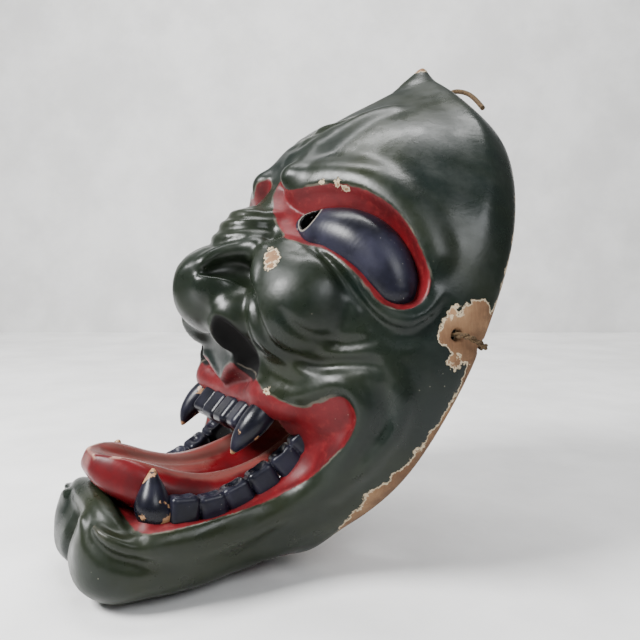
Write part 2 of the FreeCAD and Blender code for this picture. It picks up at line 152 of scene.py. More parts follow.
class Look:
    """One material, and short words for its nodes."""

    def __init__(self, name, roughness):
        self.material = bpy.data.materials.new(name)
        self.material.use_nodes = True
        self.tree = self.material.node_tree
        self.shader = self.tree.nodes["Principled BSDF"]
        self.set("Roughness", roughness)
        self.set("Specular IOR Level", SPECULAR)
        self.place = self.node("TexCoord").outputs["Object"]

    def feed(self, socket, value):
        if isinstance(value, bpy.types.NodeSocket):
            self.tree.links.new(value, socket)
        elif isinstance(value, tuple):
            socket.default_value = (*value, 1)[:4] if len(socket.default_value) == 4 else value
        else:
            socket.default_value = value

    def set(self, name, value):
        self.feed(self.shader.inputs[name], value)

    def node(self, kind, setting=None, **inputs):
        """A new node, with values or links fed into its named inputs."""
        node = self.tree.nodes.new("ShaderNode" + kind)
        if setting:
            setattr(node, *setting)
        for name, value in inputs.items():
            self.feed(node.inputs[name.replace("_", " ")], value)
        return node

    def where(self, stretch):
        """The place on the piece, stretched or plain."""
        if not stretch:
            return self.place
        return self.node("Mapping", Vector=self.place, Scale=stretch).outputs["Vector"]

    def noise(self, scale, detail=4, roughness=0.5, stretch=None, twist=0):
        node = self.node("TexNoise", Scale=scale, Detail=detail, Roughness=roughness, Distortion=twist,
                         Vector=self.where(stretch))
        return node.outputs["Fac"]

    def cells(self, scale, feature="F1", stretch=None):
        node = self.node("TexVoronoi", ("feature", feature), Scale=scale, Vector=self.where(stretch))
        return node.outputs["Distance"]

    def painted(self, name):
        """A number laid on the mesh's points."""
        return self.node("Attribute", ("attribute_name", name)).outputs["Fac"]

    def math(self, operation, a, b=0.0):
        node = self.node("Math", ("operation", operation))
        for socket, value in zip(node.inputs, (a, b)):
            self.feed(socket, value)
        return node.outputs["Value"]

    def times(self, a, b):
        return self.math("MULTIPLY", a, b)

    def most(self, a, b):
        return self.math("MAXIMUM", a, b)

    def band(self, value, low, high):
        """0 up to low, 1 from high, smooth between; high may be the smaller."""
        start, end = (1.0, 0.0) if high < low else (0.0, 1.0)
        node = self.node("MapRange", ("interpolation_type", "SMOOTHSTEP"), Value=value, To_Min=start,
                         To_Max=end, From_Min=min(low, high), From_Max=max(low, high))
        return node.outputs["Result"]

    def wander(self, noise, reach):
        """A noise made to swing evenly about 0."""
        return self.times(self.math("SUBTRACT", noise, 0.5), reach)

    def mix(self, share, a, b, strength=1):
        """Colour a going over to b, by no more than the strength."""
        if strength != 1:
            share = self.times(share, strength)
        return self.node("Mix", ("data_type", "RGBA"), Factor=share, A=a, B=b).outputs["Result"]

    def blend(self, share, a, b):
        """The same for plain numbers."""
        return self.node("Mix", Factor=share, A=a, B=b).outputs["Result"]

    def bump(self, height, strength, distance):
        """Adds a relief on top of those already there."""
        node = self.node("Bump", Strength=strength, Distance=distance, Height=height)
        normal = self.shader.inputs["Normal"]
        if normal.is_linked:
            self.tree.links.new(normal.links[0].from_socket, node.inputs["Normal"])
        self.tree.links.new(node.outputs["Normal"], normal)


# ---- Clay: signed distances in mm, for the wearer's left half ----
# x runs to the wearer's left, y to the back (the rim lies in y = 0), z to the crown.
class Clay:
    """Signed distances, negative inside, on a grid that is mirrored in x = 0."""

    def __init__(self, low, high, step):
        self.low = np.array(low, float)
        self.step = step
        self.count = np.ceil((np.array(high) - self.low) / step - 1e-6).astype(int) + 1
        self.axes = [self.low[i] + step * np.arange(self.count[i]) for i in range(3)]
        self.d = np.full(tuple(self.count), FAR, np.float32)

    def window(self, low, high):
        """Slices of the grid that cover a box."""
        first = np.clip(np.floor((np.array(low) - self.low) / self.step), 0, self.count - 1)
        last = np.clip(np.ceil((np.array(high) - self.low) / self.step) + 1, 1, self.count)
        return tuple(slice(int(a), int(b)) for a, b in zip(first, last))

    def points(self, w):
        """Coordinates of a window, ready to broadcast."""
        x, y, z = (self.axes[i][w[i]].astype(np.float32) for i in range(3))
        return x[:, None, None], y[None, :, None], z[None, None, :]

    def join(self, distance, w, blend, carve=False):
        """Adds a body, given by its distances in a window, or carves it out."""
        sign = -1 if carve else 1
        self.d[w] = sign * smooth_min(sign * self.d[w], distance, blend)

    def blank(self):
        """Empty clay on the same grid."""
        return Clay(self.low, [axis[-1] for axis in self.axes], self.step)

    def copy(self):
        other = self.blank()
        other.d = self.d.copy()
        return other

    def soften(self, rounds):
        """Rounds off every edge, more with each round."""
        for _ in range(rounds):
            for axis in range(3):
                margin = [(1, 1) if i == axis else (0, 0) for i in range(3)]
                d = np.pad(self.d, margin, mode="reflect")
                low, mid, high = (np.take(d, range(i, i + self.d.shape[axis]), axis) for i in range(3))
                self.d = ((low + 2 * mid + high) / 4).astype(np.float32)

    def sample(self, p):
        """Distances at points, read between the grid's nodes."""
        p = np.asarray(p, float)
        g = (np.column_stack([np.abs(p[:, 0]), p[:, 1], p[:, 2]]) - self.low) / self.step
        i = np.clip(np.floor(g).astype(int), 0, self.count - 2)
        f = g - i
        total = 0
        for corner in np.ndindex(2, 2, 2):
            share = np.prod(np.where(corner, f, 1 - f), axis=1)
            total = total + share * self.d[tuple((i + corner).T)]
        return total

    def slope(self, p, e=0.7):
        return np.stack([(self.sample(p + e * a) - self.sample(p - e * a)) / (2 * e) for a in np.eye(3)], 1)

    def settle(self, p, offset=0.0, rounds=6):
        """Moves points onto the surface, or to a distance outside it."""
        p = np.array(p, float)
        for _ in range(rounds):
            g = self.slope(p)
            steepness = np.maximum((g * g).sum(1), 0.2)
            p -= 0.9 * ((self.sample(p) - offset) / steepness)[:, None] * g
        return p


def smooth_min(a, b, k):
    if k <= 0:
        return np.minimum(a, b)
    h = np.maximum(k - np.abs(a - b), 0) / k
    return np.minimum(a, b) - h * h * k / 4


def unit(v):
    """Vectors brought to length 1."""
    return v / np.linalg.norm(v, axis=-1, keepdims=True)


def turned(angles):
    """Rotation matrix from degrees about x, y and z."""
    (cx, cy, cz), (sx, sy, sz) = np.cos(np.radians(angles)), np.sin(np.radians(angles))
    about_x = np.array([[1, 0, 0], [0, cx, -sx], [0, sx, cx]])
    about_y = np.array([[cy, 0, sy], [0, 1, 0], [-sy, 0, cy]])
    about_z = np.array([[cz, -sz, 0], [sz, cz, 0], [0, 0, 1]])
    return about_z @ about_y @ about_x


def round_about(clay, centre, reach, rows):
    """A window round a centre, and its points along each row of a matrix."""
    w = clay.window(np.array(centre) - reach, np.array(centre) + reach)
    away = [a - c for a, c in zip(clay.points(w), centre)]
    return w, [sum(r * a for r, a in zip(row, away)) for row in rows]


def blob(clay, centre, radii, turn=(0, 0, 0), blend=8, carve=False):
    """Adds or carves an ellipsoid."""
    w, local = round_about(clay, centre, max(radii) + blend + 3, turned(turn).T)
    near = np.sqrt(sum((q / r) ** 2 for q, r in zip(local, radii)))
    steep = np.sqrt(sum((q / r ** 2) ** 2 for q, r in zip(local, radii)))
    d = near * (near - 1) / np.maximum(steep, 1e-6)
    clay.join(d, w, blend, carve)


def smooth_path(points, per=6):
    """Catmull-Rom curve through given points with any number of columns."""
    p = np.array(points, float)
    p = np.vstack([2 * p[0] - p[1], p, 2 * p[-1] - p[-2]])
    t = np.linspace(0, 1, per, endpoint=False)[:, None]
    out = []
    for a, b, c, d in zip(p, p[1:], p[2:], p[3:]):
        bend = (2 * a - 5 * b + 4 * c - d) * t ** 2 + (3 * b - a - 3 * c + d) * t ** 3
        out.append(0.5 * (2 * b + (c - a) * t + bend))
    return np.vstack(out + [p[-2][None]])


def laid(clay, points, into=False):
    """Path over the surface; a fifth column says how far each point stands out, or is cut in."""
    path = smooth_path(points, 5)
    sink = path[:, 4] - path[:, 3]
    path[:, :3] = clay.settle(path[:, :3], -sink if into else sink)
    return path


def strip(clay, path, blend=3, carve=False):
    """Adds or carves a round strip along a path (x, y, z, radius)."""
    reach = path[:, 3].max() + blend + 4
    w = clay.window(path[:, :3].min(0) - reach, path[:, :3].max(0) + reach)
    best = np.full(clay.d[w].shape, FAR, np.float32)
    for a, b in zip(path, path[1:]):
        along = b[:3] - a[:3]
        near = max(a[3], b[3]) + blend + 4
        sub = clay.window(np.minimum(a[:3], b[:3]) - near, np.maximum(a[:3], b[:3]) + near)
        x, y, z = (q - c for q, c in zip(clay.points(sub), a[:3]))
        t = (x * along[0] + y * along[1] + z * along[2]) / max(along @ along, TINY)
        t = np.clip(t, 0, 1)
        gone = (x - t * along[0]) ** 2 + (y - t * along[1]) ** 2 + (z - t * along[2]) ** 2
        place = tuple(slice(s.start - r.start, s.stop - r.start) for s, r in zip(sub, w))
        best[place] = np.minimum(best[place], np.sqrt(gone) - a[3] - t * (b[3] - a[3]))
    clay.join(best, w, blend, carve)


def ridge(clay, points, blend=4):
    strip(clay, laid(clay, points), blend)


def groove(clay, points, blend=3):
    strip(clay, laid(clay, points, into=True), blend, carve=True)


def rod(clay, points, blend, carve=False):
    """Adds or carves a strip just where its points are."""
    strip(clay, smooth_path(points, 5), blend, carve)


def bore(clay, points, blend=2):
    rod(clay, points, blend, carve=True)


def block(clay, centre, half, rows, rounding, blend):
    """Adds a rounded box whose own axes are the rows."""
    w, local = round_about(clay, centre, np.linalg.norm(half) + blend + 2, rows)
    over = [np.abs(a) - h + rounding for a, h in zip(local, half)]
    outside = np.sqrt(sum(np.maximum(o, 0) ** 2 for o in over))
    inside = np.minimum(np.maximum(np.maximum(over[0], over[1]), over[2]), 0)
    clay.join(outside + inside - rounding, w, blend)


def outline_distance(u, v, loop):
    """Signed distances in a plane to a closed outline, negative inside."""
    gap = np.full(u.shape, FAR)
    inside = np.zeros(u.shape, bool)
    for a, b in zip(loop, np.roll(loop, -1, axis=0)):
        along = b - a
        t = np.clip(((u - a[0]) * along[0] + (v - a[1]) * along[1]) / max(along @ along, TINY), 0, 1)
        gap = np.minimum(gap, (u - a[0] - t * along[0]) ** 2 + (v - a[1] - t * along[1]) ** 2)
        crosses = (a[1] > v) != (b[1] > v)
        rise = along[1] if along[1] != 0 else TINY
        inside ^= crosses & (u < a[0] + (v - a[1]) / rise * along[0])
    return np.where(inside, -1, 1) * np.sqrt(gap)


def mirrored_loop(half):
    """Closed outline from its right half, listed from top to bottom."""
    half = smooth_path(half, 6)
    return np.vstack([half, half[-2:0:-1] * (-1, 1)])


def sections_volume(clay, sections, sharp, rounded, blend, back, carve=False):
    """A body from outlines at several depths: depth, half width, top, bottom, roundness."""
    fine = smooth_path(sections, 8)
    x, z = np.meshgrid(clay.axes[0], clay.axes[2], indexing="ij")
    d = np.full(tuple(clay.count), FAR, np.float32)
    first, last = fine[0, 0], fine[-1, 0]
    for j, y in enumerate(clay.axes[1]):
        if not first - 8 <= -y <= last + 6:
            continue
        depth = np.clip(-y, first, last)
        width, top, low, roundness = (np.interp(depth, fine[:, 0], column) for column in fine.T[1:])
        half = sharp + roundness * (rounded - sharp)
        half = np.column_stack([width * half[:, 0], low + (top - low) * half[:, 1]])
        d[:, j, :] = outline_distance(x, z, mirrored_loop(half))
    steep = np.gradient(d, clay.step, axis=1)
    d = d / np.sqrt(1 + np.clip(steep, -8, 8) ** 2)
    y = clay.axes[1][None, :, None].astype(np.float32)
    d = np.maximum(np.maximum(d, y - back), -(y + last))
    clay.join(d, EVERYWHERE, blend, carve)


def bevelled_cut(clay, outline, slope, back):
    """Cuts an outline in (x, z) back to y = back, narrowing by slope as it goes in."""
    x, z = np.meshgrid(clay.axes[0], clay.axes[2], indexing="ij")
    flat = outline_distance(x, z, outline)[:, None, :].astype(np.float32)
    y = clay.axes[1][None, :, None].astype(np.float32)
    d = flat + slope * np.clip(-clay.d, 0, BEVEL_DEPTH)
    clay.join(np.maximum(d, y - back), EVERYWHERE, OPENING_BLEND, carve=True)


def surface_nets(d, low, step):
    """Closed quad mesh of the zero surface of a grid."""
    inside = d < 0
    corners = sum(inside[i:i + d.shape[0] - 1, j:j + d.shape[1] - 1, k:k + d.shape[2] - 1].astype(np.uint8)
                  for i, j, k in np.ndindex(2, 2, 2))
    cell = (corners > 0) & (corners < 8)
    where = np.argwhere(cell)
    number = np.full(cell.shape, -1, np.int64)
    number[tuple(where.T)] = np.arange(len(where))
    total, hits = np.zeros((len(where), 3)), np.zeros((len(where), 1))
    for axis in range(3):
        across = [a for a in range(3) if a != axis]
        for shift in np.ndindex(2, 2):
            start = where.copy()
            start[:, across] += shift
            end = start.copy()
            end[:, axis] += 1
            a, b = d[tuple(start.T)], d[tuple(end.T)]
            crosses = (a < 0) != (b < 0)
            p = start.astype(float)
            p[:, axis] += np.where(crosses, a / np.where(crosses, a - b, 1), 0)
            total += p * crosses[:, None]
            hits += crosses[:, None]
    quads = []
    for axis in range(3):
        u, v = (axis + 1) % 3, (axis + 2) % 3
        near, far = [slice(1, -1)] * 3, [slice(1, -1)] * 3
        near[axis], far[axis] = slice(0, -1), slice(1, None)
        near_in = inside[tuple(near)]
        edges = np.argwhere(near_in != inside[tuple(far)])
        inward = near_in[tuple(edges.T)]
        edges[:, [u, v]] += 1
        ring = []
        for back in ((0, 0), (1, 0), (1, 1), (0, 1)):
            corner = edges.copy()
            corner[:, [u, v]] -= back
            ring.append(number[tuple(corner.T)])
        quad = np.stack(ring, 1)
        quad[~inward] = quad[~inward][:, ::-1]
        quads.append(quad)
    return low + step * total / hits, np.vstack(quads)


def clay_mesh(clay, both_sides):
    """Points and quads on a clay's surface; both_sides adds the mirrored half."""
    d, low = clay.d, clay.low.copy()
    if both_sides:
        d = np.concatenate([d[:0:-1], d], 0)
        low[0] = -clay.step * (clay.d.shape[0] - 1)
    d = np.pad(d, 1, constant_values=FAR)
    points, quads = surface_nets(d, low - clay.step, clay.step)
    return clay.settle(points, rounds=2), quads


# ---- The head's form ----
# Half outlines from top to bottom, as shares of half width and height.
ONION = np.array([
    (0, 1), (0.4, 0.905), (0.75, 0.795), (0.95, 0.65), (1, 0.49), (0.95, 0.33), (0.79, 0.18), (0.46, 0.066),
    (0, 0)])
ROUND = np.array([
    (0, 1), (0.34, 0.965), (0.66, 0.86), (0.9, 0.69), (1, 0.5), (0.95, 0.31), (0.78, 0.14), (0.44, 0.03),
    (0, 0)])
SQUARE = np.array([
    (0, 1), (0.5, 0.985), (0.8, 0.92), (0.96, 0.74), (1, 0.5), (0.98, 0.28), (0.9, 0.11), (0.62, 0.02),
    (0, 0)])
# Depth in front of the rim, half width, top, bottom, roundness.
FACE = [
    (0, 96, 294, 37.6, 0), (8, 95, 296.5, 37, 0), (17, 92.5, 296.5, 40, 0.05), (24, 89, 284, 48, 0.25),
    (35, 83, 268, 66, 0.6), (50, 68, 247, 94, 1), (62, 48, 225, 106, 1), (70, 26, 206, 130, 1),
    (73, 6, 185, 160, 1)]
JAW = [
    (14, 58, 110, 35, 0), (24, 54, 106, 29, 0.3), (35, 46, 98, 22, 0.7), (50, 45.5, 84, 15, 1),
    (66, 44.5, 66, 8.5, 1), (80, 40, 53, 4, 1), (92, 30, 44, 6, 1), (98, 12, 34, 16, 1)]
# Edge between red and green round the mouth, x and z, from the lip's notch to the chin.
MOUTH = [
    (0, 101), (6, 104.5), (12, 108), (20, 109), (28, 107.5), (35, 103.5), (43, 101), (51, 101), (58, 104.5),
    (66, 110), (70.5, 110), (73.5, 104), (70.5, 95), (64, 86.5), (56.5, 77), (49.5, 66), (46, 54), (44, 44.5),
    (41.5, 37.5), (37, 32.5), (30, 31), (0, 33)]
# Edge of the red round an eye, x and z, from the notch beside the brow.
SOCKET = [
    (7, 200), (12, 196), (17, 191), (24, 192), (33, 194.5), (44, 196), (55, 195), (65, 191.5), (73, 186),
    (79, 179), (83.5, 171), (85.5, 162), (84.5, 154), (80, 149.5), (75, 150.5), (71, 154), (65, 159),
    (58, 162.5), (50, 165), (42, 165.5), (34, 166), (27, 169), (20, 174), (13, 181), (6, 188), (3, 195)]
# The hollow behind the face: depth, half width, top, bottom, roundness.
HOLLOW = [
    (0, 88.5, 285, 46, 0), (10, 86, 283, 48, 0.05), (17, 80, 272, 52, 0.3), (27, 72, 257, 66, 0.6),
    (42, 55, 236, 98, 1), (51, 36, 212, 122, 1)]
UPPER_GUM = [
    (0, -47, 99, 7.5), (16, -47, 99.5, 7.5), (24, -47, 101, 9), (31, -47.5, 102, 10), (38, -44.5, 102, 9),
    (46, -38.5, 103, 7), (56, -33, 106, 6)]
LOWER_GUM = [
    (32, -77, 35, 6.5), (36.5, -66, 37.5, 5.8), (38, -55, 41, 5.8), (38.5, -46, 48, 5.8),
    (39.5, -36, 58.5, 6), (41.5, -28, 68.5, 6.5), (44.5, -25, 80, 6), (48, -26, 91, 5)]
MOUTH_FLOOR = [
    (38, -75, 31.5, 4.5), (41.5, -61, 37, 5.5), (43.5, -47, 46, 5.5), (46, -35, 57.5, 6),
    (50.5, -26, 68, 6.5), (57, -22, 78, 7), (63, -22, 92, 7)]
FRONT_LIP = [(0, -92.5, 33.5, 6), (14, -92.5, 33.5, 6), (24, -91, 32, 5), (32, -86, 29.5, 3.5)]
NOSTRIL = [
    (21, -93, 121, 2.5), (24, -87, 118.5, 5.5), (25, -79, 116.5, 7), (25.5, -71, 113.5, 7.5),
    (26, -63, 110, 7)]
PUPIL_RADIUS = 5.4
PUPIL_HOLE = [(39.5, -90, 181.5, PUPIL_RADIUS), (25, -20, 174.5, PUPIL_RADIUS)]
TIE_HOLE = (-14.5, 149)  # y and z
TIE_HOLE_RADIUS = 2.4
SIDE_REACH = (110, 60)  # x from outside the wall to inside it
RIM_NOTCH_DEPTH, RIM_NOTCH_RADIUS = -0.5, 3.2
CORD_HOLE_RADIUS = 1.6
# How the sockets and the mouth narrow from the surface inwards, how deep, and the depth of their backs.
BEVEL_DEPTH = 9
SOCKET_SLOPE, SOCKET_BACK = 1.0, -30
MOUTH_SLOPES, MOUTH_BACK = [(62, 0.5), (88, 1.6)], -20
OPENING_BLEND = 1.2
# The eyeball, laid on the uncut face: x, y, z, radius, how far it stands out.
EYE_LINE = [
    (30, -67, 177.5, 8, -5.6), (37, -65, 177, 10.5, -3.2), (44, -62, 176, 13, -0.6), (52, -58, 175, 14.6, 1),
    (60, -53, 172.5, 15, 1.4), (66.5, -47.5, 168.5, 14.2, 1.2), (72, -43, 163, 12.5, 0.8),
    (75.5, -40, 158, 9.5, 0)]


def head_base(step):
    """The head's plain volume: dome, jaw, chin lobes, nose and cheeks."""
    clay = Clay((0, -112, -4), (101, 8, 303), step)
    sections_volume(clay, FACE, ONION, ROUND, 0, 0)
    sections_volume(clay, JAW, ROUND, SQUARE, 12, 0)
    clay.soften(round(14 / step))
    rod(clay, [(0, -14, 281, 9), (0, -15, 290, 4.5), (0, -16, 297, 1.6)], 7)
    blob(clay, (19, -80, 20), (18.3, 17.8, 17.8), blend=5)
    blob(clay, (20, -85, 27), (14, 13.5, 12.5), blend=6)
    blob(clay, (0, -70, 160), (20, 17, 24), blend=8)
    blob(clay, (0, -76, 137.5), (21, 22.5, 20), blend=9)
    blob(clay, (18, -68, 128), (13.8, 16, 15), (10, 0, 0), 4)
    blob(clay, (42, -57, 141), (23, 19, 25), (0, 20, 30), 3)
    blob(clay, (31, -66, 151), (11, 10, 12), blend=9)
    return clay


def model_brows(clay):
    ridge(clay, [
        (15, -71, 198, 6, 2.5), (24, -69, 200, 6.5, 2.6), (36, -66, 203, 6.5, 2.6), (50, -59, 203, 6, 2.2),
        (63, -50, 198, 6, 1.2), (75, -40, 189, 5, 0.4), (83, -31, 177, 4, -1)], 9)
    ridge(clay, [
        (14, -71, 200, 6, 1.5), (14, -68, 212, 6, 2), (17, -61, 226, 5.5, 1.6), (22, -53, 241, 4, 0.6),
        (28, -45, 254, 3, -1)], 8)
    for z, radius in ((236, 6), (223, 7), (210, 7.5)):
        ridge(clay, [
            (0, -62, z, radius, 2.6), (6, -62, z + 2, radius * 0.8, 2), (12, -60, z + 7, radius * 0.5, 0)], 5)


def model_nose(clay):
    for z in (174, 167, 160):
        ridge(clay, [(0, -86, z, 3.4, 0.9), (10, -84, z + 1.5, 3.4, 0.9), (20, -74, z + 7, 2.6, 0)], 4)
        groove(clay, [
            (0, -86, z - 3.5, 1.6, 0.6), (10, -84, z - 2, 1.6, 0.6), (20, -74, z + 3.5, 1.4, 0)], 3.5)
    # The recess above the nose wing and the fold of skin over it.
    bore(clay, [
        (12, -93, 140, 1.5), (15, -88, 144.5, 4.5), (18, -83, 148, 6.5), (22, -77, 148, 6),
        (26, -74, 145, 3)], 2)
    ridge(clay, [
        (11, -93, 138, 2, 0.3), (10, -91, 147, 3, 1.8), (13, -86, 154.5, 3.4, 2.8), (19, -81, 158.5, 3.6, 3),
        (25, -76, 158, 4, 3), (28.5, -76, 152, 4, 2.6), (32, -77, 145, 3.4, 1.5), (36, -76, 138, 3, 0)], 3)
    groove(clay, [
        (11, -96, 139, 2.5, 0.2), (9, -98, 133, 4, 1.4), (11, -95, 125, 4, 1.4), (17, -89, 120, 3, 0.4)], 5)
    ridge(clay, [
        (22, -76, 161, 4, 2.2), (30, -71, 164, 5, 2.4), (39, -67, 165, 5, 1.6), (46, -63, 164, 4, 0)], 6)


def model_cheeks(clay):
    # Between the nose and upper lip on one side and the cheek's folds on the other.
    groove(clay, [
        (24, -74, 149, 1.8, 1), (30, -76, 142, 2.4, 2.4), (36, -75, 136, 2.8, 3), (41, -71, 128, 3, 3.2),
        (45, -66, 121, 3, 3), (50, -57, 118, 3, 2.8), (57, -49, 119, 3, 2.6), (68, -42, 123.5, 2.6, 2.2),
        (78, -36, 126, 2.2, 1.4), (84, -30, 121, 1.6, 0)])
    groove(clay, [
        (53, -70, 133, 1.4, 0.2), (57, -65, 129, 2, 1.4), (62, -56, 127.5, 2.4, 1.8), (69, -48, 130, 2, 1.2),
        (76, -41, 135, 1.2, 0)])
    # Folds of the lower lid, outside the crease of the cheek.
    groove(clay, [
        (40, -66, 167, 1.6, 0.6), (50, -61, 162.5, 2.2, 1.8), (58, -57, 158, 2.4, 2),
        (65, -51, 152.5, 2.4, 2), (72, -46, 146.5, 2.2, 1.8), (78, -40, 142.5, 2, 1.4),
        (84, -34, 142, 1.6, 0)])
    ridge(clay, [
        (40, -66, 170, 1.8, 0.3), (50, -61, 166, 2.4, 1.5), (59, -57, 161.5, 2.6, 1.8),
        (66, -51, 156, 2.6, 1.8), (72, -46, 150, 2.6, 1.8), (79, -39, 146.5, 2.8, 1.8),
        (85, -33, 147.5, 2.8, 1.8), (88, -28, 153, 2.4, 1.4), (88.5, -26, 161, 1.8, 0)], 3)
    groove(clay, [
        (72, -46, 142, 1.8, 0), (80, -38, 138.5, 2.2, 1.2), (87, -31, 141, 2.2, 1.2),
        (90.5, -26, 149, 2, 0.8), (91, -23, 158, 1.6, -0.5)], 4)


def model_lips(clay):
    edge = [
        (0, -55, 103), (7, -57, 107.5), (13, -58, 111), (20, -60, 112), (28, -60, 111), (36, -54, 107),
        (44, -50, 104.5), (51, -48, 104.5), (58, -47, 108), (66, -44, 113), (72, -39, 113.5), (77, -33, 106),
        (74, -31, 94), (67, -28, 84.5), (59, -26, 75), (52, -35, 64), (49, -50, 51.5), (46.5, -64, 41),
        (43.5, -75, 34.5), (38.5, -84, 29.5), (31, -91, 28), (16, -97, 30)]
    ridge(clay, [(*point, 2.8, 1.5) for point in edge], 4)
    # Rings round the corner of the mouth.
    ridge(clay, [
        (80, -32, 125, 2.4, -0.5), (86, -25, 118, 3, 1.4), (86, -21, 106, 3.2, 1.6), (82, -22, 95, 3.2, 1.5),
        (75, -22, 84, 3, 1.2), (66, -22, 72, 2.4, -0.8)], 5)
    groove(clay, [(81, -31, 118, 1.6, 0), (83.5, -27, 107, 2, 1), (79, -26, 95, 2, 1), (72, -25, 84, 1.6, 0)])


def model_chin(clay):
    groove(clay, [
        (20, -96, 39, 2.4, 0.8), (25, -100, 31.5, 2.8, 2.2), (31, -98, 27, 3, 2.6), (37, -91, 24.5, 3, 2.2),
        (42, -82, 24.5, 2.8, 1.4), (49, -70, 27, 2.4, -0.4)], 4)
    ridge(clay, [
        (24, -95, 38, 2.6, 1), (29, -96, 33, 3, 2), (35, -92, 29.5, 3, 2), (41, -84, 29.5, 3, 1.4),
        (48, -73, 32, 2.6, -0.4)])
    groove(clay, [(28, -93, 36.5, 1.8, 0.8), (34, -91, 33, 2, 1.3), (41, -83, 33, 1.8, 0)])
    groove(clay, [(0, -97, 26, 3, 2), (0, -100, 16, 4, 3), (0, -88, 4, 4, 3)], 5)


def head_form(step):
    """The head's outside with every fold, before any cut."""
    clay = head_base(step)
    model_brows(clay)
    model_nose(clay)
    model_cheeks(clay)
    model_lips(clay)
    model_chin(clay)
    return clay


def socket_loop():
    return smooth_path(SOCKET + SOCKET[:1], 5)[:-1]


def open_head(clay):
    """Cuts sockets, mouth, nostrils, holes and the wearer's hollow into the form."""
    bevelled_cut(clay, socket_loop(), SOCKET_SLOPE, SOCKET_BACK)
    mouth_slope = np.interp(clay.axes[2], *np.transpose(MOUTH_SLOPES)).astype(np.float32)
    bevelled_cut(clay, mirrored_loop(MOUTH), mouth_slope, MOUTH_BACK)
    bore(clay, NOSTRIL)
    sections_volume(clay, HOLLOW, ONION, ROUND, 2, 10, carve=True)
    for route, blend in ((UPPER_GUM, 3), (MOUTH_FLOOR, 5), (LOWER_GUM, 5), (FRONT_LIP, 2)):
        rod(clay, route, blend)
    bore(clay, PUPIL_HOLE, 0.5)
    bore(clay, [(x, *TIE_HOLE, TIE_HOLE_RADIUS) for x in SIDE_REACH], 0.6)
    bore(clay, [(x, RIM_NOTCH_DEPTH, TIE_HOLE[1], RIM_NOTCH_RADIUS) for x in SIDE_REACH], 0.6)
    bore(clay, [(*point, CORD_HOLE_RADIUS) for point in CORD_ROUTE[:2]], 0.4)


# ---- Meshes ----
def mesh_from(name, points, quads):
    """A smooth-shaded mesh in the row frame from points in mm."""
    mesh = bpy.data.meshes.new(name)
    mesh.from_pydata(to_row(points).tolist(), [], quads.tolist())
    mesh.shade_smooth()
    mesh.update()
    return mesh


def biggest_part(points, quads):
    """Drops loose crumbs: keeps the largest connected part."""
    label = np.arange(len(points))
    while True:
        lowest = label[quads].min(1)
        before = label.copy()
        for i in range(4):
            np.minimum.at(label, quads[:, i], lowest)
        label = label[label]
        if (label == before).all():
            break
    keep = label == np.bincount(label).argmax()
    number = np.cumsum(keep) - 1
    return points[keep], number[quads[keep[quads[:, 0]]]]


def lightened(mesh, most):
    """The same mesh with at most that many triangles."""
    triangles = 2 * len(mesh.polygons)
    if triangles <= most:
        return mesh
    thing = put("heavy", mesh)
    modifier = thing.modifiers.new("lighter", "DECIMATE")
    modifier.ratio = most / triangles
    graph = bpy.context.evaluated_depsgraph_get()
    light = bpy.data.meshes.new_from_object(thing.evaluated_get(graph))
    light.name = mesh.name
    bpy.data.objects.remove(thing)
    return light


def rows_of(items, name, width, kind=float):
    """One property of all a mesh's points or edges."""
    flat = np.empty(width * len(items), kind)
    items.foreach_get(name, flat)
    return flat.reshape(-1, width)


def points_of(mesh):
    """A mesh's points back in the mask's own frame, in mm."""
    return (rows_of(mesh.vertices, "co", 3) - SEAT) @ LEANING / MM


def paint(mesh, name, values):
    mesh.attributes.new(name, "FLOAT", "POINT").data.foreach_set("value", np.asarray(values, np.float32))


def sharpness(mesh, rounds=2):
    """How convex the surface is at each point, per mm, averaged over its neighbours."""
    p = points_of(mesh)
    a, b = rows_of(mesh.edges, "vertices", 2, int).T
    both, other = np.concatenate([a, b]), np.concatenate([b, a])
    count = np.bincount(both, minlength=len(p))
    total = np.stack([np.bincount(both, (p[other] - p[both])[:, i], len(p)) for i in range(3)], 1)
    spread = np.bincount(both, ((p[other] - p[both]) ** 2).sum(1), len(p))
    normal = rows_of(mesh.vertices, "normal", 3) @ LEANING
    convex = -2 * (total * normal).sum(1) / np.maximum(spread, TINY)
    for _ in range(rounds):
        convex = (convex + np.bincount(both, convex[other], len(p))) / (1 + count)
    return convex


def place_piece(shape, node, look):
    """Puts a mesh or a curve in the scene in place of its CAD node."""
    piece = put(node + "_look", shape)
    shape.materials.clear()
    shape.materials.append(look.material)
    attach(piece, "root")
    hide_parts(node)
    return piece


# ---- Finishes ----
WOOD = (0.21, 0.105, 0.05)
DARK_WOOD = (0.065, 0.036, 0.022)
PALE_WOOD = (0.3, 0.19, 0.105)
PRIMER = (0.42, 0.34, 0.23)
WORN_WOOD = (0.36, 0.2, 0.1)
# painted shade: the near-black laid inside the nostrils and on the pupil holes' walls
PAINTED_SHADE_BLACK = (0.001, 0.001, 0.001)
CRIMSON = (0.11, 0.004, 0.0065)
DEEP_CRIMSON = (0.055, 0.003, 0.0045)
BARE_REACH = 11  # mm over which a chip's edge strays


def wood_colour(look):
    fibre = look.noise(1, 8, 0.65, stretch=(1500, 1500, 160))
    stain = look.noise(70, 4)
    dark, light = look.mix(fibre, DARK_WOOD, WOOD), look.mix(fibre, WOOD, PALE_WOOD)
    return look.mix(look.band(stain, 0.3, 0.72), dark, light)


